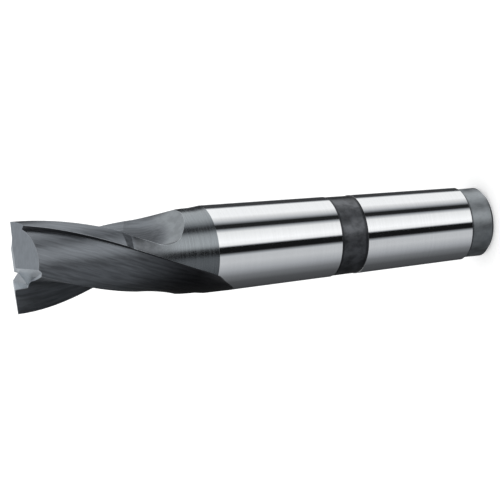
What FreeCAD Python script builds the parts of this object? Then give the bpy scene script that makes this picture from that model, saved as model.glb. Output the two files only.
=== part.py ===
"""Slot drill, two flutes, right-hand cut, on a Morse taper 2 shank with a draw-bar thread.

The tool stands on the rear end of its shank. Z runs along its axis towards the cutting end and
Z = 0 is the rear end. One high-speed steel bar is turned, then ground: the tooth backs, the two
gullets, the end clearance, the end gashes and the draw-bar hole are cuts in that one solid.

The tooth back, the gullet with its run-out and the three-sided end gashes are the shapes that
follow the helix or the grinding wheel; everything else is turned.
"""
import FreeCAD, Part
import os

import Sketcher

V = FreeCAD.Vector
NODE = "slot_drill"

doc = FreeCAD.newDocument("SlotDrill")

SIZES = [
    ("overall_length", 104.0, "rear end to cutting end"),
    ("cutter_diameter", 18.3, "over the two teeth"),
    ("head_length", 20.0, "cylindrical head with the teeth"),
    ("head_blend", 2.6, "cone from the head down to the neck"),
    ("neck_diameter", 17.1, ""),
    ("collar_chamfer", 2.2, "cone from the neck up to the shank, along the axis"),
    ("shank_length", 64.0, "gauge plane to rear end"),
    ("gauge_diameter", 17.78, "at the gauge plane"),
    ("taper_ratio", 20.02, "1 in this much on diameter"),
    ("front_land_start", 63.2, "height of the front edge of the front ground band"),
    ("front_land_end", 35.6, "height of the rear edge of the front ground band"),
    ("rear_land_start", 29.6, "height of the front edge of the rear ground band"),
    ("rear_land_end", 5.6, "height of the rear edge of the rear ground band"),
    ("relief_depth", 0.15, "radial, between the two ground bands"),
    ("tail_depth", 0.42, "radial, behind the rear ground band"),
    ("rear_chamfer", 1.0, ""),
    ("thread_length", 24.0, "usable draw-bar thread"),
    ("thread_drill", 8.5, "tapping hole of the draw-bar thread"),
    ("thread_run_out", 4.0, "tapping hole beyond the usable thread"),
    ("drill_point", 118.0, "point angle at the bottom of the tapping hole"),
    ("centre_mouth", 10.5, "wide end of the centre at the mouth of the hole"),
    ("centre_angle", 60.0, ""),
    ("helix_angle", 22.83, "at the cutter diameter"),
    ("edge_phase", 91.3, "angle of the long tooth's edge at the cutting end, from +X"),
    ("land_angle", 20.0, "width of the land behind each edge"),
    ("land_drop", 0.16, "radial relief over the land"),
    ("heel_radius", 8.1, "foot of the step behind the land"),
    ("heel_rise_start", 71.5, "height where that foot begins to rise"),
    ("heel_rise_radius", 52.0, ""),
    ("belly_radius", 7.75, "tooth back at the belly angle"),
    ("belly_angle", 50.0, "from the cutting edge"),
    ("belly_rise_start", 70.3, "height where the belly begins to rise"),
    ("belly_rise_radius", 80.0, ""),
    ("ridge_radius", 7.3, "tooth back where the gullet begins"),
    ("ridge_angle", 106.0, "from the cutting edge, just beyond that ridge"),
    ("ridge_rise_start", 79.0, "height where the ridge begins to rise"),
    ("ridge_rise_radius", 31.0, ""),
    ("core_radius", 3.0, ""),
    ("gullet_angle", 172.0, "from the cutting edge to the deepest line of the gullet behind it"),
    ("gullet_side", 1.2, "rake face to the gullet's deepest line"),
    ("gullet_fillet", 3.0, ""),
    ("gullet_end", 81.5, "height where the gullet stops following the helix"),
    ("wheel_radius", 14.0, "run-out of the gullet"),
    ("end_edge_turn", 10.0, "end edges turned from the Y axis"),
    ("end_edge_offset", 0.35, "end edges ahead of the axis"),
    ("end_relief", 7.0, "first clearance angle of the end edges"),
    ("end_relief_width", 0.8, ""),
    ("end_clearance", 21.0, "second clearance angle"),
    ("short_gash_depth", 3.14, "lowest point of the short tooth's gash below the cutting end"),
    ("short_gash_across", 0.69, "the same, across the axis"),
    ("short_gash_out", 3.62, "the same, out from the axis"),
    ("short_floor_start", 0.27, "floor line of that gash from the axis, at the end face"),
    ("short_floor_turn", 15.7, "the same line, from the X axis"),
    ("short_tooth_across", 0.8, "inner corner of the short tooth, across the axis"),
    ("short_tooth_out", 2.54, "the same, out from the axis"),
    ("short_tooth_lean", 22.8, "rake line of the short tooth, from the Y axis"),
    ("centre_wall_across", 0.93, "wall of that gash at the web, ahead of the axis"),
    ("long_gash_depth", 4.23, "lowest point of the long tooth's gash below the cutting end"),
    ("long_gash_across", 0.11, "the same, across the axis"),
    ("long_gash_out", 3.0, "the same, out from the axis"),
    ("long_floor_turn", 28.8, "floor line of that gash at the end face, from the X axis"),
    ("long_tooth_across", 0.57, "inner end of the long tooth, ahead of the axis"),
    ("long_tooth_past", 1.79, "the same, past the axis"),
    ("long_tooth_lean", 8.1, "rake line of the long tooth, from the Y axis"),
]

sheet = doc.addObject("Spreadsheet::Sheet", "Sizes")
for row, (alias, value, note) in enumerate(SIZES, start=1):
    sheet.set("A%d" % row, alias)
    sheet.set("B%d" % row, repr(value))
    sheet.set("C%d" % row, note)
    sheet.setAlias("B%d" % row, alias)
doc.recompute()

body = doc.addObject("PartDesign::Body", NODE)
body.Label = NODE


def origin_feature(role):
    """The body's own plane or axis with this role."""
    return next(item for item in body.Origin.OriginFeatures if item.Role == role)


def new_sketch(name, plane):
    """A sketch lying on one of the body's own planes."""
    sketch = body.newObject("Sketcher::SketchObject", name)
    sketch.AttachmentSupport = (origin_feature(plane), "")
    sketch.MapMode = "FlatFace"
    return sketch


def evaluate(expression):
    """What an expression over the sheet gives now."""
    return float(sheet.evalExpression(expression.replace("Sizes.", "")))


def pin_point(sketch, geometry, end, across, along):
    """Hold a vertex at expressions for its two coordinates, measured from the sketch's origin."""
    for kind, expression in (("DistanceX", across), ("DistanceY", along)):
        index = sketch.addConstraint(
            Sketcher.Constraint(kind, -1, 1, geometry, end, evaluate(expression)))
        sketch.setExpression("Constraints[%d]" % index, expression)


def draw_outline(sketch, corners, bulges=None):
    """Join the corners in turn. bulges maps an edge's number to a point on its arc; every other
    edge is straight."""
    bulges = bulges or {}
    here = [V(evaluate(x), evaluate(y), 0) for x, y in corners]
    for number, start in enumerate(here):
        finish = here[(number + 1) % len(here)]
        if number in bulges:
            middle = V(*[evaluate(value) for value in bulges[number]], 0)
            sketch.addGeometry(Part.Arc(start, middle, finish), False)
        else:
            sketch.addGeometry(Part.LineSegment(start, finish), False)


def hold_outline(sketch, corners):
    """A closed outline of straight edges with every corner held by the sheet."""
    draw_outline(sketch, corners)
    for number, (across, along) in enumerate(corners):
        following = (number + 1) % len(corners)
        sketch.addConstraint(Sketcher.Constraint("Coincident", number, 2, following, 1))
        pin_point(sketch, number, 1, across, along)


# The turned blank: half its outline, turned about the axis
def taper_radius(height):
    """Radius of the ground taper at a height."""
    return "(Sizes.gauge_diameter/2 + (%s - Sizes.shank_length)/Sizes.taper_ratio/2)" % height


HEAD_RADIUS = "(Sizes.cutter_diameter/2 + Sizes.land_drop)"
TAIL_RADIUS = taper_radius("Sizes.rear_land_end") + " - Sizes.tail_depth"
BLANK_OUTLINE = [
    ("0", "0"),
    (TAIL_RADIUS + " - Sizes.rear_chamfer", "0"),
    (TAIL_RADIUS, "Sizes.rear_chamfer"),
    (TAIL_RADIUS, "Sizes.rear_land_end"),
    (taper_radius("Sizes.rear_land_end"), "Sizes.rear_land_end"),
    (taper_radius("Sizes.rear_land_start"), "Sizes.rear_land_start"),
    (taper_radius("Sizes.rear_land_start") + " - Sizes.relief_depth", "Sizes.rear_land_start"),
    (taper_radius("Sizes.front_land_end") + " - Sizes.relief_depth", "Sizes.front_land_end"),
    (taper_radius("Sizes.front_land_end"), "Sizes.front_land_end"),
    (taper_radius("Sizes.front_land_start"), "Sizes.front_land_start"),
    ("Sizes.neck_diameter/2", "Sizes.front_land_start + Sizes.collar_chamfer"),
    ("Sizes.neck_diameter/2", "Sizes.overall_length - Sizes.head_length - Sizes.head_blend"),
    (HEAD_RADIUS, "Sizes.overall_length - Sizes.head_length"),
    (HEAD_RADIUS, "Sizes.overall_length"),
    ("0", "Sizes.overall_length"),
]
blank_sketch = new_sketch("BlankOutline", "XZ_Plane")
hold_outline(blank_sketch, BLANK_OUTLINE)
blank = body.newObject("PartDesign::Revolution", "Blank")
blank.Profile = blank_sketch
blank.ReferenceAxis = (blank_sketch, ["V_Axis"])
blank.Angle = 360
doc.recompute()

# Draw-bar hole: 60 degree centre at the mouth, tapping hole and drill point
HOLE_RADIUS = "Sizes.thread_drill/2"
HOLE_DEPTH = "(Sizes.thread_length + Sizes.thread_run_out)"
CENTRE_DEPTH = "(Sizes.centre_mouth - Sizes.thread_drill)/2/tan(Sizes.centre_angle/2)"
POINT_DEPTH = "Sizes.thread_drill/2/tan(Sizes.drill_point/2)"
hole_sketch = new_sketch("DrawBarHoleOutline", "XZ_Plane")
hold_outline(hole_sketch, [
    ("0", "0"),
    ("Sizes.centre_mouth/2", "0"),
    (HOLE_RADIUS, CENTRE_DEPTH),
    (HOLE_RADIUS, HOLE_DEPTH),
    ("0", HOLE_DEPTH + " + " + POINT_DEPTH),
])
hole = body.newObject("PartDesign::Groove", "DrawBarHole")
hole.Profile = hole_sketch
hole.ReferenceAxis = (hole_sketch, ["V_Axis"])
hole.Angle = 360
doc.recompute()

# The helix: how far a section turns for each mm of height
TWIST = "(360*tan(Sizes.helix_angle)/(pi*Sizes.cutter_diameter))"


def turned_to(height, behind="0"):
    """Angle from +X of a line at some height that lies this far behind the cutting edge."""
    return "(Sizes.edge_phase + (%s - Sizes.overall_length)*%s - (%s))" % (height, TWIST, behind)


def place_section(sketch, height, angle, tilt="0"):
    """Set a section at a height, turned about the axis and then tilted about its own X."""
    sketch.setExpression("AttachmentOffset", (
        "create(<<placement>>; create(<<vector>>; 0; 0; %s);"
        " create(<<rotation>>; create(<<vector>>; 0; 0; 1); %s)"
        " * create(<<rotation>>; create(<<vector>>; 1; 0; 0); %s))") % (height, angle, tilt))


def two_of(feature, name):
    """Repeat a cut on the other side of the axis."""
    pattern = body.newObject("PartDesign::PolarPattern", name)
    pattern.Originals = [feature]
    pattern.Axis = (origin_feature("Z_Axis"), [""])
    pattern.Angle = 360
    pattern.Occurrences = 2
    body.Tip = pattern
    doc.recompute()
    return pattern


def polar(radius, behind):
    """Coordinates of a point at a radius and an angle behind the cutting edge."""
    return "%s*cos(%s)" % (radius, behind), "-%s*sin(%s)" % (radius, behind)


# Tooth back: the land with its relief, the step behind it and the rounded back down to the ridge
BACK_OUTSIDE = "(Sizes.cutter_diameter/2 + 10)"
AHEAD_OF_EDGE = "4"
BACK_SECTION_COUNT = 13
BACK_TOP = "(Sizes.overall_length + 2)"
BACK_FOOT = "(Sizes.heel_rise_start - 15)"


def rise(height, start, radius):
    """How far a cut has risen where its run-out of this radius starts at a height."""
    return "max(0; %s - %s)^2/(2*%s)" % (start, height, radius)


def land_radius(behind, land_rise):
    """Radius of the relieved land at an angle behind the edge."""
    return "(Sizes.cutter_diameter/2 - Sizes.land_drop*(%s)/Sizes.land_angle + %s)" % (
        behind, land_rise)


def back_section(number, height):
    """One section across the tooth back."""
    ridge_rise = rise(height, "Sizes.ridge_rise_start", "Sizes.ridge_rise_radius")
    heel_rise = rise(height, "Sizes.heel_rise_start", "Sizes.heel_rise_radius")
    belly_rise = rise(height, "Sizes.belly_rise_start", "Sizes.belly_rise_radius")
    lead = "-" + AHEAD_OF_EDGE
    mid_land = "(Sizes.land_angle - %s)/2" % AHEAD_OF_EDGE
    mid_outside = "(Sizes.ridge_angle - %s)/2" % AHEAD_OF_EDGE
    corners = [
        polar(BACK_OUTSIDE, lead),
        polar(land_radius(lead, ridge_rise), lead),
        polar(land_radius("Sizes.land_angle", ridge_rise), "Sizes.land_angle"),
        polar("(Sizes.heel_radius + %s)" % heel_rise, "Sizes.land_angle"),
        polar("(Sizes.ridge_radius + %s)" % ridge_rise, "Sizes.ridge_angle"),
        polar(BACK_OUTSIDE, "Sizes.ridge_angle"),
    ]
    bulges = {
        1: polar(land_radius(mid_land, ridge_rise), mid_land),
        3: polar("(Sizes.belly_radius + %s)" % belly_rise, "Sizes.belly_angle"),
        5: polar(BACK_OUTSIDE, mid_outside),
    }
    sketch = new_sketch("BackSection%d" % number, "XY_Plane")
    draw_outline(sketch, corners, bulges)
    place_section(sketch, height, turned_to(height))
    return sketch


def spread(first, last, count):
    """Expressions for evenly spaced heights from one height to another."""
    shares = [number / (count - 1) for number in range(count)]
    return ["(%s + (%s - %s)*%r)" % (first, last, first, share) for share in shares]


back_sections = [back_section(number, height)
                 for number, height in enumerate(spread(BACK_TOP, BACK_FOOT, BACK_SECTION_COUNT))]
tooth_back = body.newObject("PartDesign::SubtractiveLoft", "ToothBack")
tooth_back.Profile = back_sections[0]
tooth_back.Sections = back_sections[1:]
doc.recompute()
both_backs = two_of(tooth_back, "BothBacks")

# Gullet: the profile of the wheel, set square to the helix at each height
GULLET_OUTSIDE = "(Sizes.cutter_diameter/2 + 3)"
GULLET_SECTION_COUNT = 8
GULLET_TOP = "(Sizes.overall_length + 6)"


def gullet_section(number, height):
    """The wheel's profile: rake wall, root fillet, floor and an open far side."""
    wall = "-Sizes.gullet_side"
    floor = "Sizes.core_radius"
    inset = "(1 - sqrt(0.5))*Sizes.gullet_fillet"
    corners = [
        (GULLET_OUTSIDE, wall),
        (floor + " + Sizes.gullet_fillet", wall),
        (floor, wall + " + Sizes.gullet_fillet"),
        (floor, GULLET_OUTSIDE),
        (GULLET_OUTSIDE, GULLET_OUTSIDE),
    ]
    sketch = new_sketch("GulletSection%d" % number, "XY_Plane")
    draw_outline(sketch, corners, {1: (floor + " + " + inset, wall + " + " + inset)})
    place_section(sketch, height, turned_to(height, "Sizes.gullet_angle"), "-Sizes.helix_angle")
    return sketch


gullet_sections = [gullet_section(number, height) for number, height
                   in enumerate(spread("Sizes.gullet_end", GULLET_TOP, GULLET_SECTION_COUNT))]
gullet = body.newObject("PartDesign::SubtractiveLoft", "Gullet")
gullet.Profile = gullet_sections[0]
gullet.Sections = gullet_sections[1:]
doc.recompute()
both_gullets = two_of(gullet, "BothGullets")

# The gullet runs out where the wheel lifts off, turning about its own axle
RUN_OUT_TURN = 80
AXLE_DISTANCE = "Sizes.core_radius + Sizes.wheel_radius"
wheel_sketch = gullet_section(GULLET_SECTION_COUNT, "Sizes.gullet_end")
axle_start = V(evaluate(AXLE_DISTANCE), 0, 0)
axle_finish = V(evaluate(AXLE_DISTANCE), evaluate("Sizes.wheel_radius"), 0)
axle = wheel_sketch.addGeometry(Part.LineSegment(axle_start, axle_finish), True)
pin_point(wheel_sketch, axle, 1, AXLE_DISTANCE, "0")
pin_point(wheel_sketch, axle, 2, AXLE_DISTANCE, "Sizes.wheel_radius")
run_out = body.newObject("PartDesign::Groove", "GulletRunOut")
run_out.Profile = wheel_sketch
run_out.ReferenceAxis = (wheel_sketch, ["Axis0"])
run_out.Angle = RUN_OUT_TURN
run_out.Reversed = True
doc.recompute()
both_run_outs = two_of(run_out, "BothRunOuts")

# End clearance of each tooth: two flats falling away behind the end edge
REACH = "(Sizes.cutter_diameter/2 + 4)"
PAST_AXIS = "(Sizes.cutter_diameter/2 + 4)"
RELIEF_FOOT = "(Sizes.end_edge_offset + Sizes.end_relief_width)"
RELIEF_FALL = "Sizes.end_relief_width*tan(Sizes.end_relief)"
CLEARANCE_FALL = "(%s - %s)*tan(Sizes.end_clearance)" % (REACH, RELIEF_FOOT)
ABOVE_END = "Sizes.overall_length + 3"
clearance_sketch = new_sketch("EndClearanceOutline", "XZ_Plane")
hold_outline(clearance_sketch, [
    ("Sizes.end_edge_offset", "Sizes.overall_length"),
    (RELIEF_FOOT, "Sizes.overall_length - " + RELIEF_FALL),
    (REACH, "Sizes.overall_length - %s - %s" % (RELIEF_FALL, CLEARANCE_FALL)),
    (REACH, ABOVE_END),
    ("Sizes.end_edge_offset", ABOVE_END),
])
clearance_sketch.setExpression("AttachmentOffset", (
    "create(<<placement>>; create(<<vector>>; %s*sin(Sizes.end_edge_turn); 0;"
    " %s*cos(Sizes.end_edge_turn));"
    " create(<<rotation>>; create(<<vector>>; 0; 1; 0); Sizes.end_edge_turn))")
    % (PAST_AXIS, PAST_AXIS))
clearance = body.newObject("PartDesign::Pocket", "EndClearance")
clearance.Profile = clearance_sketch
clearance.setExpression("Length", "2*" + PAST_AXIS)
doc.recompute()
both_clearances = two_of(clearance, "BothEndClearances")


# End gashes: each opens the core in front of an end edge with flat walls that meet in one point.
# The long tooth's gash crosses the axis, so its edge cuts to the centre.
FAR = "16"


def towards_lowest(corner, lowest, share):
    """A corner at the end face, moved along its straight line to the lowest point."""
    return ["(%s + (%s - (%s))*%s)" % (low, here, low, share) for here, low in zip(corner, lowest)]


def gash_section(name, height, share, walls, turn):
    """The gash's outline at a height: its inner corners, its rake line and its floor line."""
    corners, lowest, lean, floor_turn = walls
    inner = [towards_lowest(corner, lowest, share) for corner in corners]
    first, last = inner[0], inner[-1]
    rake_end = ("(%s + %s*sin(%s))" % (last[0], FAR, lean), "(%s - %s*cos(%s))" % (last[1], FAR, lean))
    floor_end = (FAR, "(%s + (%s - %s)*tan(%s))" % (first[1], FAR, first[0], floor_turn))
    sketch = new_sketch(name, "XY_Plane")
    hold_outline(sketch, inner + [rake_end, (FAR, "-1*" + FAR), floor_end])
    place_section(sketch, height, turn)
    return sketch


def gash(name, depth, walls, turn):
    """Loft the gash from just above its lowest point to above the cutting end."""
    foot, top = "0.05", "1.6"
    sections = [
        gash_section(name + end, "(Sizes.overall_length - %s*(1 - %s))" % (depth, share),
                     share, walls, turn)
        for end, share in (("Foot", foot), ("Top", top))]
    feature = body.newObject("PartDesign::SubtractiveLoft", name)
    feature.Profile = sections[0]
    feature.Sections = sections[1:]
    feature.Ruled = True
    body.Tip = feature
    doc.recompute()


SHORT_WALLS = (
    [
        ("Sizes.centre_wall_across",
         "Sizes.centre_wall_across*tan(Sizes.short_floor_turn) - Sizes.short_floor_start"),
        ("Sizes.short_tooth_across*-1", "Sizes.short_tooth_out*-1"),
    ],
    ("Sizes.short_gash_across*-1", "Sizes.short_gash_out*-1"),
    "Sizes.short_tooth_lean",
    "Sizes.short_floor_turn",
)
LONG_WALLS = (
    [("Sizes.long_tooth_across*-1", "Sizes.long_tooth_past")],
    ("Sizes.long_gash_across", "Sizes.long_gash_out*-1"),
    "Sizes.long_tooth_lean",
    "Sizes.long_floor_turn",
)
gash("ShortToothGash", "Sizes.short_gash_depth", SHORT_WALLS, "0")
gash("LongToothGash", "Sizes.long_gash_depth", LONG_WALLS, "180")

for feature in doc.Objects:
    if "Invalid" in feature.State or "Error" in feature.State:
        raise RuntimeError("%s did not compute" % feature.Name)
shape = body.Shape
if shape.isNull() or not shape.isValid() or len(shape.Solids) != 1:
    raise RuntimeError("%s is not one sound solid" % NODE)

os.makedirs("parts", exist_ok=True)
shape.exportStep("parts/%s.step" % NODE)
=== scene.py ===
"""The looks of a slot drill on a taper shank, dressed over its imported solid.

The solid stands on the rear end of its shank with Z along the axis. This script gives it its ground and
oxidised steel, winds a ridge that stands for the thread inside the hole at the rear end, and sets the
floor, the surroundings and the camera.
"""

from __future__ import annotations

import logging
import math
from dataclasses import dataclass, field
from enum import Enum

import bpy
from mathutils import Matrix, Vector


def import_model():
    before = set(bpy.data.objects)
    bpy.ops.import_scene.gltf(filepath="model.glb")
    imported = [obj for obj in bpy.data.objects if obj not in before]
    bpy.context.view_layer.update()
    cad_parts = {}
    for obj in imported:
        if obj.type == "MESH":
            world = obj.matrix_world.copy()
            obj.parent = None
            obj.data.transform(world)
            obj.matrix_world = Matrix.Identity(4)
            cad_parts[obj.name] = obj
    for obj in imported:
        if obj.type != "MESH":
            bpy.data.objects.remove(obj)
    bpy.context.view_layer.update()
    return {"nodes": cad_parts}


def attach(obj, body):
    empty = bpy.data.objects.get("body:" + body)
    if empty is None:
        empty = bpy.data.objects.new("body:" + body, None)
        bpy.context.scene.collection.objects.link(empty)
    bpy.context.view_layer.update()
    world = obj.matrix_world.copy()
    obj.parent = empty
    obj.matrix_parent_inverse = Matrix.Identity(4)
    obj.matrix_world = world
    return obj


LOG = logging.getLogger("slot_drill")

Colour = tuple[float, float, float]
Scale = tuple[float, float, float]
Span = tuple[float, float]
Socket = bpy.types.NodeSocket

FADE_OUT: Span = (1.0, 0.0)
WHITE: Colour = (1.0, 1.0, 1.0)


@dataclass(frozen=True)
class Sizes:
    """Sizes of the tool in metres, as its solid has them.

    Attributes:
        length: Rear end to cutting end.
        gauge_radius: Shank radius at the gauge plane.
        gauge_height: Height of the gauge plane.
        taper: Radius gained per metre of height.
        front_land: Heights of the front ground band.
        rear_land: Heights of the rear ground band.
        neck: Heights of the turned neck.
        neck_radius: Radius of the neck.
        collar_slope: Radius gained per metre down the cone between neck and shank.
        twist: Turn of the helix per metre of height, in radians.
        edge_turn: Angle of the long tooth's edge at the cutting end, in radians.
        step_turn: Width of the land behind each edge, in radians.
        step_radius: Greatest radius of the step behind the land.
        gash_depth: How far the end gashes reach below the cutting end.
        gash_reach: How far the gashed centre reaches from the axis.
    """

    length: float = 0.104
    gauge_radius: float = 0.00889
    gauge_height: float = 0.064
    taper: float = 1 / 40.04
    front_land: Span = (0.0356, 0.0632)
    rear_land: Span = (0.0056, 0.0296)
    neck: Span = (0.0654, 0.0814)
    neck_radius: float = 0.00855
    collar_slope: float = 0.1455
    twist: float = 46.01
    edge_turn: float = math.radians(91.3)
    step_turn: float = math.radians(20.0)
    step_radius: float = 0.00893
    gash_depth: float = 0.0055
    gash_reach: float = 0.0062


@dataclass(frozen=True)
class Thread:
    """The ridge that stands for the draw-bar thread, inwards from the wall of its tapping hole.

    Attributes:
        radius: Wall of the tapping hole.
        span: Heights between which the ridge runs.
        pitch: Distance between turns.
        crest: How far the ridge stands in from the wall.
        sink: How far its foot reaches into the wall, so that no gap shows.
        foot_half: Half the width of its foot, in pitches.
        crest_half: Half the width of its crest, in pitches.
        per_turn: Steps in one turn.
        fade_steps: Steps over which it rises at either end.
    """

    radius: float = 0.00425
    span: Span = (0.0019, 0.024)
    pitch: float = 0.0015
    crest: float = 0.00062
    sink: float = 0.00002
    foot_half: float = 0.44
    crest_half: float = 0.09
    per_turn: int = 48
    fade_steps: int = 24


@dataclass(frozen=True)
class Limits:
    """Where one finish gives way to the next.

    Heights, radii and depths are in metres and angles in radians. A facing is the upward part of the
    surface's direction, from -1 to 1. A most is the greatest share of a finish.

    Attributes:
        land_soft: Half the softness of a ground band's edge.
        corner_soft: Softness of the other turned corners.
        foot_soft: The same where the front ground band meets the cone.
        shank_skin: Depths under the shank's wall over which the marks of turning give way.
        neck_skin: The same under the wall of the neck and the cone.
        neck_foot: Heights where the neck begins.
        head_foot: Heights where the head begins.
        clouded_rear: Heights where the clouded oxide of the rear ends.
        clouded_front: Heights over which it comes back towards the head.
        clouded_most: Its share there.
        scoop_facing: Facings over which the scooped run-out gets its painted highlight.
        scoop_radius: Radii over which it does.
        scoop_foot: Heights where the scoop begins.
        scoop_top: Heights where it ends.
        scoop_most: Its greatest share.
        tail_top: Heights where the tail's oxide ends.
        deep_radius: Radii over which the painted shade in a flute's bottom gives way.
        deep_foot: Heights where that bottom begins.
        deep_top: Heights over which it fades towards the cutting end.
        deep_most: Its greatest share.
        recess_foot: Heights where a tooth back begins to sink into the shank.
        recess_top: Heights over which its painted shade ends in the neck.
        recess_end: Angles behind the edge where it ends.
        step_soft: Softness of the painted shadow line behind the land and of the painted shade on the
            tooth backs, as an angle.
        corner_width: Width of the painted shade in the corners beside the ground bands.
        corner_most: Their greatest share.
        worn_and_glint_alike: How alike the sharp and the eased direction are where edges are lightened,
            partly as rubbed-off oxide and partly as a painted highlight.
        worn_and_glint_foot: Heights above which edges are lightened.
        worn_and_glint_most: The greatest share of that lighter edge colour.
        root_heights: Heights over which the painted shadow line at the root behind the land narrows.
        root_widths: Its widths there, as angles.
        root_fade: Shares of that width over which it fades.
        root_skin: Depth under the step's radius over which it begins.
        root_foot: Heights where it begins.
        end_soft: Softness of the lower limit of the ground end.
        end_facing: Facings of the end faces.
        gash_facing: Facings of the ground walls of the gashes.
        gash_below: Distances below the cutting end where those walls begin.
        gash_soft: Softness of the gashed centre's edge.
        web_facing_low: Least facings of the facet that thins the web.
        web_facing_high: Its greatest facings.
        web_turn: Angles behind the edge where it ends.
        web_side: Where it ends across the axis.
        web_below: Distances below the cutting end where it begins.
        web_inset: Distances inside the gashed centre's edge where it ends.
        shank_inside: Radii that part the shank's outside from its hole.
        level_facing: Facings over which a wall stops being a turned one.
        chamfer_top: Heights where the rear chamfer ends.
        chamfer_facing: Facings that part that chamfer from the rear face.
    """

    land_soft: float = 0.00004
    corner_soft: float = 0.0001
    foot_soft: float = 0.00005
    shank_skin: Span = (0.00004, 0.00008)
    neck_skin: Span = (0.00007, 0.00011)
    neck_foot: Span = (0.0632, 0.0633)
    head_foot: Span = (0.0805, 0.0815)
    clouded_rear: Span = (0.0400, 0.0410)
    clouded_front: Span = (0.0700, 0.0790)
    clouded_most: float = 0.85
    scoop_facing: Span = (0.25, 0.55)
    scoop_radius: Span = (0.0050, 0.0068)
    scoop_foot: Span = (0.0632, 0.0634)
    scoop_top: Span = (0.078, 0.080)
    scoop_most: float = 0.9
    tail_top: Span = (0.0150, 0.0160)
    deep_radius: Span = (0.0042, 0.0062)
    deep_foot: Span = (0.0630, 0.0632)
    deep_top: Span = (0.078, 0.090)
    deep_most: float = 0.6
    recess_foot: Span = (0.050, 0.051)
    recess_top: Span = (0.067, 0.086)
    recess_end: Span = (1.5, 1.75)
    step_soft: float = 0.006
    corner_width: float = 0.0007
    corner_most: float = 0.8
    worn_and_glint_alike: Span = (0.980, 0.998)
    worn_and_glint_foot: Span = (0.0660, 0.0665)
    worn_and_glint_most: float = 0.7
    root_heights: Span = (0.070, 0.086)
    root_widths: Span = (0.045, 0.010)
    root_fade: Span = (0.55, 1.0)
    root_skin: float = 0.00005
    root_foot: Span = (0.0625, 0.0635)
    end_soft: float = 0.0004
    end_facing: Span = (0.5, 0.56)
    gash_facing: Span = (0.12, 0.18)
    gash_below: Span = (0.0028, 0.0026)
    gash_soft: float = 0.0002
    web_facing_low: Span = (-0.2, -0.15)
    web_facing_high: Span = (0.05, 0.10)
    web_turn: Span = (0.38, 0.42)
    web_side: Span = (-0.0015, -0.0010)
    web_below: Span = (0.0034, 0.003)
    web_inset: Span = (0.002, 0.0018)
    shank_inside: Span = (0.0066, 0.0067)
    level_facing: Span = (0.25, 0.35)
    chamfer_top: Span = (0.0011, 0.0012)
    chamfer_facing: Span = (-0.9, -0.8)


class Graph:
    """A short way to write a node tree."""

    def __init__(self, owner: bpy.types.Material | bpy.types.World) -> None:
        """Empty the tree of a material or a world.

        Args:
            owner: What the tree belongs to.
        """
        owner.use_nodes = True
        self.tree = owner.node_tree
        self.tree.nodes.clear()

    def add(self, kind: str, inputs: dict[str | int, object] | None = None,
            **settings: object) -> bpy.types.Node:
        """Add a node.

        Args:
            kind: The node's type name.
            inputs: Values or output sockets for its inputs.
            **settings: Properties of the node.

        Returns:
            The new node.
        """
        node = self.tree.nodes.new(kind)
        for key, value in settings.items():
            setattr(node, key, value)
        for key, value in (inputs or {}).items():
            socket = node.inputs[key]
            if isinstance(value, Socket):
                self.tree.links.new(value, socket)
            else:
                socket.default_value = value
        return node

    def math(self, operation: str, *values: Socket | float, clamp: bool = False) -> Socket:
        """Work out a number.

        Args:
            operation: The maths node's operation.
            *values: Numbers or sockets.
            clamp: Keep the result within 0 and 1.

        Returns:
            The output socket.
        """
        inputs = dict(enumerate(values))
        return self.add("ShaderNodeMath", inputs, operation=operation, use_clamp=clamp).outputs[0]

    def product(self, *values: Socket | float) -> Socket:
        """Multiply any number of values.

        Args:
            *values: Numbers or sockets.

        Returns:
            The output socket.
        """
        result = values[0]
        for value in values[1:]:
            result = self.math("MULTIPLY", result, value)
        return result

    def mix(self, share: Socket | float, low: Socket | float, high: Socket | float) -> Socket:
        """Mix two numbers.

        Args:
            share: How much of the second.
            low: The first number.
            high: The second number.

        Returns:
            The output socket.
        """
        return self.add("ShaderNodeMix", {0: share, 2: low, 3: high}).outputs[0]

    def remap(self, value: Socket, span: Span, to_span: Span = (0.0, 1.0)) -> Socket:
        """Map a range smoothly onto another.

        Args:
            value: The socket to map.
            span: Start and end of the range.
            to_span: Results at the start and the end.

        Returns:
            The output socket.
        """
        names = {"Value": value, "From Min": span[0], "From Max": span[1],
                 "To Min": to_span[0], "To Max": to_span[1]}
        return self.add("ShaderNodeMapRange", names, interpolation_type="SMOOTHSTEP").outputs[0]

    def noise(self, place: Socket, scale: Scale, detail: float = 3.0, roughness: float = 0.58) -> Socket:
        """A cloud of noise.

        Args:
            place: Where it is read.
            scale: How fine it is along its three axes, per metre.
            detail: Its octaves.
            roughness: How much the finer octaves weigh.

        Returns:
            The output socket.
        """
        stretched = self.add("ShaderNodeMapping", {"Vector": place, "Scale": scale}).outputs[0]
        names = {"Vector": stretched, "Scale": 1.0, "Detail": detail, "Roughness": roughness}
        return self.add("ShaderNodeTexNoise", names).outputs["Fac"]

    def blend(self, share: Socket, low: Colour | Socket, high: Colour | Socket) -> Socket:
        """Mix two colours.

        Args:
            share: How much of the second.
            low: The first colour.
            high: The second colour.

        Returns:
            The output socket.
        """
        node = self.add("ShaderNodeMix", data_type="RGBA")
        for index, value in ((0, share), (6, low), (7, high)):
            if isinstance(value, Socket):
                self.tree.links.new(value, node.inputs[index])
            else:
                node.inputs[index].default_value = (*value, 1.0) if index else value
        return node.outputs[2]


@dataclass(frozen=True)
class Look:
    """Colour, roughness and marks of one finish.

    Attributes:
        colour: Its colour where it is lightest.
        shade: Share of that colour where it is darkest.
        roughness: Least and greatest roughness.
        marks: How fine its marks are along their three axes, per metre.
        wound: Whether the marks follow the helix.
    """

    colour: Colour
    shade: float
    roughness: Span
    marks: Scale
    wound: bool = False

    def darkest(self) -> Colour:
        """The finish's darkest colour.

        Returns:
            The colour.
        """
        red, green, blue = self.colour
        return (red * self.shade, green * self.shade, blue * self.shade)


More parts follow.
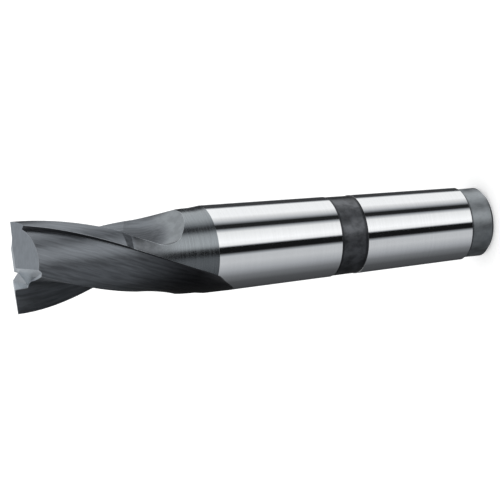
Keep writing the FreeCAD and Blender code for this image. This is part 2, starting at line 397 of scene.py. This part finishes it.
class Finish(Enum):
    """The finishes that the one bar of steel wears, and the painted shade and highlights laid over them.
    """

    GROUND = Look((0.755, 0.768, 0.780), 0.96, (0.055, 0.080), (40.0, 40.0, 5200.0))
    NECK = Look((0.228, 0.248, 0.262), 0.84, (0.20, 0.25), (160.0, 160.0, 4200.0))
    HEAD = Look((0.186, 0.201, 0.219), 0.72, (0.36, 0.43), (1900.0, 1900.0, 210.0), wound=True)
    CLOUDED = Look((0.122, 0.128, 0.138), 0.50, (0.30, 0.38), (620.0, 620.0, 520.0))
    # Own tone of the tail; the same colour is the painted highlight on the scooped run-out.
    TAIL_AND_HIGHLIGHT = Look((0.280, 0.302, 0.318), 0.76, (0.36, 0.44), (620.0, 620.0, 520.0))
    # Painted shade: near-black colour for the shadow in flute bottoms and on sunken tooth backs.
    RECESS_SHADE = Look((0.030, 0.031, 0.035), 0.70, (0.30, 0.36), (1900.0, 1900.0, 210.0), wound=True)
    # Painted shade: near-black colour for the shadow line behind each land and in the corners beside the
    # ground bands.
    ROOT_SHADE = Look((0.040, 0.042, 0.046), 0.80, (0.34, 0.42), (1900.0, 1900.0, 210.0), wound=True)
    # Lighter edges: partly rubbed-off oxide, partly a painted highlight.
    WORN_AND_GLINT = Look((0.46, 0.49, 0.52), 0.60, (0.26, 0.36), (900.0, 900.0, 900.0))
    END = Look((0.40, 0.43, 0.46), 0.88, (0.36, 0.44), (2600.0, 700.0, 2600.0))
    WEB = Look((0.76, 0.80, 0.83), 0.88, (0.36, 0.44), (2600.0, 700.0, 2600.0))


@dataclass(frozen=True)
class Spot:
    """What the steel knows of the point that it colours, as sockets.

    Attributes:
        place: Its coordinates together.
        x: Its first coordinate.
        y: Its second coordinate.
        height: Its height on the tool.
        radius: Its distance from the axis.
        behind: Angle between it and the cutting edge ahead of it, from 0 to half a turn, in radians.
        facing: Upward part of the solid's own direction.
        normal: The surface's direction.
        eased: The same with its edges eased.
    """

    place: Socket
    x: Socket
    y: Socket
    height: Socket
    radius: Socket
    behind: Socket
    facing: Socket
    normal: Socket
    eased: Socket


@dataclass(frozen=True)
class Steel:
    """High-speed steel, bright where it is ground and grey where the temper's oxide stays, with painted
    shade in its recesses and corners, a painted highlight on the scooped run-out and lighter edges that
    are partly painted highlight.

    Attributes:
        sizes: Sizes of the tool, which say where each finish lies.
        limits: Where one finish gives way to the next.
        bevel_radius: How far edges are eased.
        bevel_samples: Directions tried for that.
        mark_levels: Noise levels between which a finish goes from its darkest to its lightest.
        ring_marks: How fine the rings of grinding are, per metre.
        grain_marks: How fine the oxide's grain is, per metre.
        ring_share: Height of the rings against the grain.
        relief_strength: How strongly both tilt the surface.
        relief_depth: Their depth.
    """

    sizes: Sizes
    limits: Limits = Limits()
    bevel_radius: float = 0.00012
    bevel_samples: int = 8
    mark_levels: Span = (0.32, 0.68)
    ring_marks: Scale = (40.0, 40.0, 6500.0)
    grain_marks: Scale = (3600.0, 3600.0, 1500.0)
    ring_share: float = 0.06
    relief_strength: float = 0.14
    relief_depth: float = 0.00004

    def material(self) -> bpy.types.Material:
        """Build the steel.

        Returns:
            The material.
        """
        material = bpy.data.materials.new("tool_steel")
        graph = Graph(material)
        spot = self.read_spot(graph)
        ground = self.ground_share(graph, spot)
        cut = self.cut_share(graph, spot)
        along = graph.add("ShaderNodeCombineXYZ", {
            0: graph.product(spot.behind, self.sizes.neck_radius), 1: spot.radius,
            2: spot.height}).outputs[0]
        colour, rough = self.finish_sockets(graph, spot.place, Finish.NECK)
        for finish, share in self.layers(graph, spot, ground, cut):
            place = along if finish.value.wound else spot.place
            above_colour, above_rough = self.finish_sockets(graph, place, finish)
            colour = graph.blend(share, colour, above_colour)
            rough = graph.mix(share, rough, above_rough)
        calm = self.calm_share(graph, spot, ground, cut)
        shader = graph.add("ShaderNodeBsdfPrincipled", {
            "Base Color": colour, "Roughness": rough, "Metallic": 1.0,
            "Normal": self.relief(graph, spot, ground, calm)})
        graph.add("ShaderNodeOutputMaterial", {"Surface": shader.outputs[0]})
        return material

    def read_spot(self, graph: Graph) -> Spot:
        """Read off where a point is and which way it faces.

        Args:
            graph: The material's nodes.

        Returns:
            The point.
        """
        place = graph.add("ShaderNodeTexCoord").outputs["Object"]
        split = graph.add("ShaderNodeSeparateXYZ", {0: place}).outputs
        squares = graph.math("ADD", graph.product(split[0], split[0]), graph.product(split[1], split[1]))
        surface = graph.add("ShaderNodeNewGeometry").outputs
        facing = graph.add("ShaderNodeSeparateXYZ", {0: surface["True Normal"]}).outputs[2]
        eased = graph.add("ShaderNodeBevel", {"Radius": self.bevel_radius}, samples=self.bevel_samples)
        return Spot(
            place=place, x=split[0], y=split[1], height=split[2], radius=graph.math("SQRT", squares),
            behind=self.turn_behind_edge(graph, split[0], split[1], split[2]), facing=facing,
            normal=surface["Normal"], eased=eased.outputs[0])

    def turn_behind_edge(self, graph: Graph, x: Socket, y: Socket, height: Socket) -> Socket:
        """Angle between a point and the cutting edge ahead of it at the same height.

        Args:
            graph: The material's nodes.
            x: The point's first coordinate.
            y: The point's second coordinate.
            height: Height on the tool.

        Returns:
            A socket in radians, from 0 to half a turn.
        """
        turn = graph.math("ARCTAN2", y, x)
        wound = graph.product(graph.math("SUBTRACT", height, self.sizes.length), self.sizes.twist)
        edge = graph.math("ADD", wound, self.sizes.edge_turn)
        return graph.math("FLOORED_MODULO", graph.math("SUBTRACT", edge, turn), math.pi)

    def layers(self, graph: Graph, spot: Spot, ground: Socket,
               cut: Socket) -> tuple[tuple[Finish, Socket], ...]:
        """The finishes, painted shade and painted highlights that lie over the neck's own, from the
        lowest to the highest.

        Args:
            graph: The material's nodes.
            spot: The point.
            ground: Share of ground shank.
            cut: Share of flute in the neck.

        Returns:
            Each finish with how far the point wears it.
        """
        limits, height, radius = self.limits, spot.height, spot.radius
        clouded = graph.math(
            "ADD", graph.remap(height, limits.clouded_rear, FADE_OUT),
            graph.product(graph.remap(height, limits.clouded_front), limits.clouded_most))
        head = graph.math("MAXIMUM", graph.remap(height, limits.head_foot), cut)
        # Painted highlight: the scooped run-out is lightened where it faces upwards.
        rise = graph.add("ShaderNodeSeparateXYZ", {0: spot.eased}).outputs[2]
        scoop = graph.product(
            graph.remap(rise, limits.scoop_facing), graph.remap(radius, limits.scoop_radius),
            graph.remap(height, limits.scoop_foot),
            graph.remap(height, limits.scoop_top, (limits.scoop_most, 0.0)))
        # Painted shade: the flute's bottom near the axis is darkened.
        deep_shade = graph.product(
            graph.remap(radius, limits.deep_radius, (limits.deep_most, 0.0)),
            graph.remap(height, limits.deep_top, FADE_OUT), graph.remap(height, limits.deep_foot))
        return (
            (Finish.CLOUDED, clouded),
            (Finish.HEAD, head),
            (Finish.TAIL_AND_HIGHLIGHT, scoop),
            (Finish.TAIL_AND_HIGHLIGHT, graph.remap(height, limits.tail_top, FADE_OUT)),
            (Finish.RECESS_SHADE, deep_shade),
            (Finish.RECESS_SHADE, self.recess_shade_share(graph, spot, cut)),
            (Finish.ROOT_SHADE, self.corner_shade_share(graph, spot)),
            (Finish.WORN_AND_GLINT, self.worn_and_glint_share(graph, spot)),
            (Finish.ROOT_SHADE, self.root_shade_share(graph, spot)),
            (Finish.GROUND, ground),
            (Finish.END, self.end_share(graph, spot)),
            (Finish.WEB, self.web_share(graph, spot)),
        )

    def finish_sockets(self, graph: Graph, place: Socket, finish: Finish) -> tuple[Socket, Socket]:
        """Colour and roughness of one finish, with the marks that belong to it.

        Args:
            graph: The material's nodes.
            place: Where its marks are read.
            finish: The finish.

        Returns:
            The colour socket and the roughness socket.
        """
        look = finish.value
        marks = graph.noise(place, look.marks)
        colour = graph.blend(graph.remap(marks, self.mark_levels), look.darkest(), look.colour)
        return colour, graph.remap(marks, self.mark_levels, look.roughness)

    def sunk_depth(self, graph: Graph, spot: Spot) -> Socket:
        """How far a point lies under the wall of the ground taper.

        Args:
            graph: The material's nodes.
            spot: The point.

        Returns:
            A socket in metres.
        """
        from_gauge = graph.math("SUBTRACT", spot.height, self.sizes.gauge_height)
        wall = graph.math("ADD", graph.product(from_gauge, self.sizes.taper), self.sizes.gauge_radius)
        return graph.math("SUBTRACT", wall, spot.radius)

    def neck_depth(self, graph: Graph, spot: Spot) -> Socket:
        """How far a point lies under the wall of the neck and of the cone that joins it to the shank.

        Args:
            graph: The material's nodes.
            spot: The point.

        Returns:
            A socket in metres.
        """
        down = graph.math("MAXIMUM", graph.math("SUBTRACT", self.sizes.neck[0], spot.height), 0.0)
        wall = graph.math("ADD", graph.product(down, self.sizes.collar_slope), self.sizes.neck_radius)
        return graph.math("SUBTRACT", wall, spot.radius)

    def ground_share(self, graph: Graph, spot: Spot) -> Socket:
        """How far a point lies on one of the two ground bands.

        Args:
            graph: The material's nodes.
            spot: The point.

        Returns:
            A socket from 0 to 1.
        """
        soft = self.limits.land_soft
        shares = []
        for low, high in (self.sizes.front_land, self.sizes.rear_land):
            above = graph.remap(spot.height, (low - soft, low + soft))
            below = graph.remap(spot.height, (high - soft, high + soft), FADE_OUT)
            shares.append(graph.product(above, below))
        on_wall = graph.remap(self.sunk_depth(graph, spot), self.limits.shank_skin, FADE_OUT)
        return graph.product(graph.math("ADD", *shares, clamp=True), on_wall)

    def above_shank(self, graph: Graph, spot: Spot) -> Socket:
        """How far a point lies above the ground shank.

        Args:
            graph: The material's nodes.
            spot: The point.

        Returns:
            A socket from 0 to 1.
        """
        foot = self.sizes.front_land[1]
        return graph.remap(spot.height, (foot - self.limits.corner_soft, foot))

    def cut_share(self, graph: Graph, spot: Spot) -> Socket:
        """How far a point lies on a flute cut into the neck and its cone.

        Args:
            graph: The material's nodes.
            spot: The point.

        Returns:
            A socket from 0 to 1.
        """
        return graph.product(self.above_shank(graph, spot),
                             graph.remap(self.neck_depth(graph, spot), self.limits.neck_skin))

    def calm_share(self, graph: Graph, spot: Spot, ground: Socket, cut: Socket) -> Socket:
        """How far the oxide's grain is smoothed out: on the ground bands and the uncut neck.

        Args:
            graph: The material's nodes.
            spot: The point.
            ground: Share of ground shank.
            cut: Share of flute in the neck.

        Returns:
            A socket from 0 to 1.
        """
        on_neck = graph.product(
            graph.remap(spot.height, self.limits.neck_foot),
            graph.remap(spot.height, self.limits.head_foot, FADE_OUT), graph.math("SUBTRACT", 1.0, cut))
        return graph.math("MAXIMUM", ground, on_neck)

    def recess_shade_share(self, graph: Graph, spot: Spot, cut: Socket) -> Socket:
        """How far a point gets painted shade on a tooth back where it sinks into the neck and the shank.

        Args:
            graph: The material's nodes.
            spot: The point.
            cut: Share of flute in the neck.

        Returns:
            A socket from 0 to 1.
        """
        limits, step = self.limits, self.sizes.step_turn
        # Painted shade: tooth backs are darkened where they sink into the neck and the shank.
        in_neck = graph.product(graph.remap(spot.height, limits.recess_top, FADE_OUT), cut)
        in_shank = graph.product(
            graph.math("SUBTRACT", 1.0, self.above_shank(graph, spot)),
            graph.remap(spot.height, limits.recess_foot),
            graph.remap(self.sunk_depth(graph, spot), limits.shank_skin))
        on_back = graph.product(graph.remap(spot.behind, (step - limits.step_soft, step)),
                                graph.remap(spot.behind, limits.recess_end, FADE_OUT))
        return graph.product(graph.math("ADD", in_neck, in_shank, clamp=True), on_back)

    def corner_shade_share(self, graph: Graph, spot: Spot) -> Socket:
        """How far a point gets painted shade in one of the corners beside the ground bands.

        The corner in front of the front band is left out: the neck's cone begins there.

        Args:
            graph: The material's nodes.
            spot: The point.

        Returns:
            A socket from 0 to 1.
        """
        # Painted shade: dark rings in the corners beside the ground bands.
        width, soft, height = self.limits.corner_width, self.limits.land_soft, spot.height
        front, rear = self.sizes.front_land, self.sizes.rear_land
        rings = [
            graph.product(graph.remap(height, (low - width, low - width / 2)),
                          graph.remap(height, (low, low + soft), FADE_OUT))
            for low in (front[0], rear[0])]
        rings.append(graph.product(graph.remap(height, (rear[1] - soft, rear[1])),
                                   graph.remap(height, (rear[1] + width / 2, rear[1] + width), FADE_OUT)))
        total = graph.math("ADD", rings[0], graph.math("ADD", rings[1], rings[2]), clamp=True)
        return graph.product(total, self.limits.corner_most)

    def worn_and_glint_share(self, graph: Graph, spot: Spot) -> Socket:
        """How far a point on a sharp edge is lightened, partly as rubbed-off oxide and partly as a
        painted highlight.

        Args:
            graph: The material's nodes.
            spot: The point.

        Returns:
            A socket from 0 to 1.
        """
        # Edges are lightened: partly rubbed-off oxide, partly a painted highlight.
        alike = graph.add("ShaderNodeVectorMath", {0: spot.normal, 1: spot.eased},
                          operation="DOT_PRODUCT").outputs["Value"]
        return graph.product(graph.remap(alike, self.limits.worn_and_glint_alike, (self.limits.worn_and_glint_most, 0.0)),
                             graph.remap(spot.height, self.limits.worn_and_glint_foot))

    def root_shade_share(self, graph: Graph, spot: Spot) -> Socket:
        """How far a point gets the painted shadow line at the root of the step behind each land.

        Args:
            graph: The material's nodes.
            spot: The point.

        Returns:
            A socket from 0 to 1.
        """
        # Painted shadow: a dark line at the root of the step behind each land.
        limits, step, wall = self.limits, self.sizes.step_turn, self.sizes.step_radius
        width = graph.remap(spot.height, limits.root_heights, limits.root_widths)
        past = graph.math("DIVIDE", graph.math("SUBTRACT", spot.behind, step), width)
        return graph.product(
            graph.remap(spot.behind, (step - limits.step_soft, step)),
            graph.remap(past, limits.root_fade, FADE_OUT),
            graph.remap(spot.radius, (wall - limits.root_skin, wall), FADE_OUT),
            graph.remap(spot.height, limits.root_foot))

    def end_share(self, graph: Graph, spot: Spot) -> Socket:
        """How far a point lies on the ground faces at the cutting end.

        Args:
            graph: The material's nodes.
            spot: The point.

        Returns:
            A socket from 0 to 1.
        """
        limits, length, reach = self.limits, self.sizes.length, self.sizes.gash_reach
        foot = length - self.sizes.gash_depth
        near_end = graph.remap(spot.height, (foot - limits.end_soft, foot))
        end_face = graph.remap(spot.facing, limits.end_facing)
        low, high = limits.gash_below
        gash = graph.product(
            graph.remap(spot.facing, limits.gash_facing),
            graph.remap(spot.height, (length - low, length - high)),
            graph.remap(spot.radius, (reach, reach + limits.gash_soft), FADE_OUT))
        return graph.product(near_end, graph.math("MAXIMUM", end_face, gash))

    def web_share(self, graph: Graph, spot: Spot) -> Socket:
        """How far a point lies on the small facet that thins the web beside the short tooth.

        Args:
            graph: The material's nodes.
            spot: The point.

        Returns:
            A socket from 0 to 1.
        """
        limits, length, reach = self.limits, self.sizes.length, self.sizes.gash_reach
        low, high = limits.web_below
        inner, outer = limits.web_inset
        return graph.product(
            graph.remap(spot.facing, limits.web_facing_low),
            graph.remap(spot.facing, limits.web_facing_high, FADE_OUT),
            graph.remap(spot.behind, limits.web_turn, FADE_OUT),
            graph.remap(spot.y, limits.web_side, FADE_OUT),
            graph.remap(spot.height, (length - low, length - high)),
            graph.remap(spot.radius, (reach - inner, reach - outer), FADE_OUT))

    def on_shank(self, graph: Graph, spot: Spot) -> Socket:
        """How far a point lies on the turned wall of the shank.

        Args:
            graph: The material's nodes.
            spot: The point.

        Returns:
            A socket from 0 to 1.
        """
        limits, (low, high) = self.limits, self.sizes.front_land
        off_wall = graph.math("ABSOLUTE", self.sunk_depth(graph, spot))
        on_wall = graph.product(graph.remap(off_wall, limits.shank_skin, FADE_OUT),
                                graph.remap(spot.height, (high, high + limits.foot_soft), FADE_OUT))
        uncut = graph.remap(spot.height, (low - limits.corner_soft, low + limits.corner_soft), FADE_OUT)
        outside = graph.remap(spot.radius, limits.shank_inside)
        return graph.product(graph.math("MAXIMUM", on_wall, uncut), outside)

    def on_neck(self, graph: Graph, spot: Spot) -> Socket:
        """How far a point lies on the turned wall of the neck and its cone.

        Args:
            graph: The material's nodes.
            spot: The point.

        Returns:
            A socket from 0 to 1.
        """
        limits, foot, top = self.limits, self.sizes.front_land[1], self.sizes.neck[1]
        off_wall = graph.math("ABSOLUTE", self.neck_depth(graph, spot))
        return graph.product(
            graph.remap(off_wall, limits.neck_skin, FADE_OUT),
            graph.remap(spot.height, (foot, foot + limits.corner_soft)),
            graph.remap(spot.height, (top - limits.corner_soft, top), FADE_OUT))

    def base_normal(self, graph: Graph, spot: Spot) -> Socket:
        """The surface's direction: the turned walls' own, and elsewhere the solid's with its edges eased.

        Args:
            graph: The material's nodes.
            spot: The point.

        Returns:
            The normal socket.
        """
        limits = self.limits
        on_shank = self.on_shank(graph, spot)
        chamfer = graph.product(graph.remap(spot.height, limits.chamfer_top, FADE_OUT),
                                graph.remap(spot.facing, limits.chamfer_facing))
        tilt = graph.math("ABSOLUTE", spot.facing)
        level = graph.math("MAXIMUM", graph.remap(tilt, limits.level_facing, FADE_OUT), chamfer)
        turned = graph.product(graph.math("MAXIMUM", on_shank, self.on_neck(graph, spot)), level)
        way = graph.add("ShaderNodeCombineXYZ", {
            0: graph.math("DIVIDE", spot.x, spot.radius), 1: graph.math("DIVIDE", spot.y, spot.radius),
            2: graph.product(on_shank, -self.sizes.taper)}).outputs[0]
        true_way = graph.add("ShaderNodeVectorTransform", {0: way}, vector_type="NORMAL",
                             convert_from="OBJECT", convert_to="WORLD").outputs[0]
        mixed = graph.add("ShaderNodeMix", {0: turned, 4: spot.eased, 5: true_way},
                          data_type="VECTOR").outputs[1]
        return graph.add("ShaderNodeVectorMath", {0: mixed}, operation="NORMALIZE").outputs[0]

    def relief(self, graph: Graph, spot: Spot, ground: Socket, calm: Socket) -> Socket:
        """The fine marks that grinding and oxide leave.

        Args:
            graph: The material's nodes.
            spot: The point.
            ground: Share of ground shank.
            calm: How far the oxide's grain is smoothed out.

        Returns:
            The normal socket.
        """
        rings = graph.noise(spot.place, self.ring_marks)
        grain = graph.noise(spot.place, self.grain_marks)
        kept = graph.product(grain, graph.math("SUBTRACT", 1.0, calm))
        marks = graph.math("ADD", kept, graph.product(rings, ground, self.ring_share))
        bump = {"Height": marks, "Strength": self.relief_strength, "Distance": self.relief_depth,
                "Normal": self.base_normal(graph, spot)}
        return graph.add("ShaderNodeBump", bump).outputs[0]


@dataclass
class Tool:
    """The tool itself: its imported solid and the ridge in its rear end.

    Attributes:
        solid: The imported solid.
        steel: The material that it wears.
        thread: Sizes of the ridge that stands for the draw-bar thread.
    """

    solid: bpy.types.Object
    steel: bpy.types.Material
    thread: Thread = Thread()

    def dress(self) -> None:
        """Give the solid its steel."""
        self.solid.data.materials.clear()
        self.solid.data.materials.append(self.steel)

    def build_thread(self) -> bpy.types.Object:
        """Wind the thread inside the hole.

        The solid isn't cut, so the ridge stands inwards from the wall of the tapping hole. A real
        thread is cut outwards from it.

        Returns:
            The thread, a closed helical ridge lying on the hole's wall.
        """
        thread = self.thread
        start, finish = thread.span
        count = int((finish - start) / thread.pitch * thread.per_turn)
        profile = ((0.0, -thread.foot_half), (thread.crest, -thread.crest_half),
                   (thread.crest, thread.crest_half), (0.0, thread.foot_half))
        points, faces = [], []
        for step in range(count + 1):
            turn = 2 * math.pi * step / thread.per_turn
            middle = start + thread.pitch * step / thread.per_turn
            fade = min(1.0, step / thread.fade_steps, (count - step) / thread.fade_steps)
            for depth, along in profile:
                reach = thread.radius + thread.sink - depth * fade
                points.append((reach * math.cos(turn), reach * math.sin(turn),
                               middle + along * thread.pitch))
        size = len(profile)
        for step in range(count):
            near, far = step * size, (step + 1) * size
            for corner in range(size):
                after = (corner + 1) % size
                faces.append((near + corner, near + after, far + after, far + corner))
        faces.append(tuple(reversed(range(size))))
        faces.append(tuple(range(count * size, (count + 1) * size)))
        mesh = bpy.data.meshes.new("draw_bar_thread")
        mesh.from_pydata(points, [], faces)
        mesh.validate()
        mesh.update()
        mesh.materials.append(self.steel)
        ridge = bpy.data.objects.new("draw_bar_thread", mesh)
        bpy.context.collection.objects.link(ridge)
        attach(ridge, "root")
        return ridge


@dataclass
class Studio:
    """Camera, floor and surroundings.

    Directions are given by their upward part, from -1 to 1, and turns around the tool in degrees.

    Attributes:
        eye: Where the camera stands.
        turn: Rows of the camera's rotation.
        focal_pixels: Focal length in the picture's pixels.
        frame_pixels: Width of the picture.
        sensor: Width of the sensor in millimetres.
        clip: Nearest and farthest distance that the camera sees.
        floor_half: Half the floor's width.
        floor_grey: Level of the floor.
        floor_glow: How much brighter the camera sees it.
        tent: Levels of what the steel mirrors, by turn, set against the view of the shank.
        mirror_slope: Upward part of the directions that the shank mirrors.
        slope_fade: Distances from that slope over which the rises below come in.
        lamp_rise: How much brighter the tent's lamps are away from that slope.
        card_rise: The same for the grey card on the other side.
        side_turn: Turns over which the card gives way to the lamps.
        front_turn: Turns to either side over which both rises fade.
        sky: Level above the tool.
        zenith: Level straight overhead.
        sky_span: Directions over which the sky goes from one to the other.
        sky_foot: Directions over which the tent gives way to the sky.
        ground: Level straight below.
        ground_span: Directions over which the tent gives way to it.
        cool: Tint of the darker levels.
        cool_levels: Levels over which the tint fades.
    """

    eye: Vector = field(default_factory=lambda: Vector((0.85800244, 0.03514605, 0.44820213)))
    turn: tuple[Colour, Colour, Colour] = (
        (0.420245463, 0.0, 0.907410464),
        (-0.0828286333, 0.995825246, 0.0383601013),
        (-0.903622249, -0.0912802272, 0.418491041),
    )
    focal_pixels: float = 4695.48
    frame_pixels: float = 500.0
    sensor: float = 36.0
    clip: Span = (0.01, 20.0)
    floor_half: float = 3.0
    floor_grey: float = 0.9
    floor_glow: float = 0.3
    tent: tuple[Span, ...] = (
        (-180, 0.90), (-171, 0.90), (-164, 0.05), (-110, 0.10), (-85, 0.22), (-62, 0.50), (-42, 0.68),
        (-24, 0.66), (-15, 0.01), (0.5, 0.01), (5, 1.08), (14, 1.26), (40, 1.02), (52, 0.02),
        (62, 0.02), (74, 0.66), (90, 1.16), (125, 1.12), (134, 0.06), (164, 0.05), (171, 0.90),
        (180, 0.90))
    mirror_slope: float = -0.475
    slope_fade: Span = (0.03, 0.10)
    lamp_rise: float = 1.45
    card_rise: float = 0.3
    side_turn: Span = (-10, 0)
    front_turn: Span = (130, 175)
    sky: float = 1.15
    zenith: float = 0.46
    sky_span: Span = (0.5, 0.85)
    sky_foot: Span = (-0.22, 0.02)
    ground: float = 0.10
    ground_span: Span = (-0.80, -0.62)
    cool: Colour = (0.97, 1.0, 1.05)
    cool_levels: Span = (0.3, 1.0)

    def build(self) -> None:
        """Set up the whole studio."""
        self.build_camera()
        self.build_floor()
        self.build_world()

    def build_camera(self) -> None:
        """Stand the camera where the view was taken."""
        data = bpy.data.cameras.new("camera")
        data.sensor_width = self.sensor
        data.lens = self.sensor * self.focal_pixels / self.frame_pixels
        data.clip_start, data.clip_end = self.clip
        camera = bpy.data.objects.new("camera", data)
        bpy.context.collection.objects.link(camera)
        camera.matrix_world = Matrix.Translation(self.eye) @ Matrix(self.turn).to_4x4()
        bpy.context.scene.camera = camera

    def build_floor(self) -> None:
        """Lay a plain pale floor under the tool. Glossy rays pass through it to the tent."""
        half, grey = self.floor_half, self.floor_grey
        mesh = bpy.data.meshes.new("floor")
        mesh.from_pydata([(-half, -half, 0), (half, -half, 0), (half, half, 0), (-half, half, 0)], [],
                         [(0, 1, 2, 3)])
        floor = bpy.data.objects.new("floor", mesh)
        bpy.context.collection.objects.link(floor)
        material = bpy.data.materials.new("floor")
        graph = Graph(material)
        seen = graph.add("ShaderNodeLightPath").outputs
        matt = graph.add("ShaderNodeBsdfDiffuse", {"Color": (grey, grey, grey, 1.0)})
        glow = graph.add("ShaderNodeEmission", {
            "Strength": graph.product(seen["Is Camera Ray"], self.floor_glow)})
        pale = graph.add("ShaderNodeAddShader", {0: matt.outputs[0], 1: glow.outputs[0]})
        clear = graph.add("ShaderNodeBsdfTransparent")
        both = graph.add("ShaderNodeMixShader", {
            0: seen["Is Glossy Ray"], 1: pale.outputs[0], 2: clear.outputs[0]})
        graph.add("ShaderNodeOutputMaterial", {"Surface": both.outputs[0]})
        mesh.materials.append(material)

    def build_world(self) -> None:
        """Light the floor evenly and the steel by a tent with dark slots.

        Only glossy rays see the tent. The steel is all metal, so the even light doesn't reach it.
        """
        world = bpy.data.worlds.new("studio")
        bpy.context.scene.world = world
        graph = Graph(world)
        tent = graph.add("ShaderNodeBackground", self.tent_inputs(graph))
        even = graph.add("ShaderNodeBackground", {"Color": (*WHITE, 1.0)})
        seen = graph.add("ShaderNodeLightPath").outputs["Is Glossy Ray"]
        pick = graph.add("ShaderNodeMixShader", {0: seen, 1: even.outputs[0], 2: tent.outputs[0]})
        graph.add("ShaderNodeOutputWorld", {"Surface": pick.outputs[0]})
        LOG.info("the tent has %d levels", len(self.tent))

    def tent_inputs(self, graph: Graph) -> dict[str, Socket]:
        """Colour and level of the tent in each direction.

        Args:
            graph: The world's nodes.

        Returns:
            The sockets for a background's colour and strength.
        """
        way = graph.add("ShaderNodeTexCoord").outputs["Generated"]
        split = graph.add("ShaderNodeSeparateXYZ", {0: way}).outputs
        angle = graph.math("ARCTAN2", split[1], split[0])
        level = graph.product(self.ring_level(graph, angle), self.ring_gain(graph, angle, split[2]))
        high = graph.remap(split[2], self.sky_span, (self.sky, self.zenith))
        level = graph.mix(graph.remap(split[2], self.sky_foot), level, high)
        low = graph.remap(split[2], self.ground_span, FADE_OUT)
        level = graph.mix(low, level, self.ground)
        colour = graph.blend(graph.remap(level, self.cool_levels), self.cool, WHITE)
        return {"Color": colour, "Strength": level}

    def ring_level(self, graph: Graph, angle: Socket) -> Socket:
        """Level of the tent by the turn around the tool.

        Args:
            graph: The world's nodes.
            angle: That turn in radians.

        Returns:
            The level's socket.
        """
        share = graph.add("ShaderNodeMapRange", {
            "Value": angle, "From Min": -math.pi, "From Max": math.pi}).outputs[0]
        ramp = graph.add("ShaderNodeValToRGB", {"Fac": share})
        stops = ramp.color_ramp.elements
        while len(stops) < len(self.tent):
            stops.new(0.5)
        for stop, (turn, level) in zip(stops, self.tent):
            stop.position = (turn + 180) / 360
            stop.color = (level, level, level, 1.0)
        return ramp.outputs["Color"]

    def ring_gain(self, graph: Graph, angle: Socket, slope: Socket) -> Socket:
        """How much the tent's level changes away from the directions that the shank mirrors.

        Args:
            graph: The world's nodes.
            angle: Turn around the tool in radians.
            slope: Upward part of the direction.

        Returns:
            The factor's socket.
        """
        sides = tuple(math.radians(turn) for turn in self.side_turn)
        fronts = tuple(math.radians(turn) for turn in self.front_turn)
        away = graph.math("ABSOLUTE", graph.math("SUBTRACT", slope, self.mirror_slope))
        side = graph.remap(angle, sides, (self.card_rise, self.lamp_rise))
        front = graph.remap(graph.math("ABSOLUTE", angle), fronts, FADE_OUT)
        rise = graph.mix(front, 1.0, side)
        return graph.mix(graph.remap(away, self.slope_fade), 1.0, rise)


def main() -> None:
    """Dress the tool and set the stage."""
    logging.basicConfig(level=logging.INFO)
    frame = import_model()
    tool = Tool(frame["nodes"]["slot_drill"], Steel(Sizes()).material())
    tool.dress()
    tool.build_thread()
    Studio().build()
    bpy.context.scene.view_settings.view_transform = "Standard"


if __name__ == "__main__":
    main()
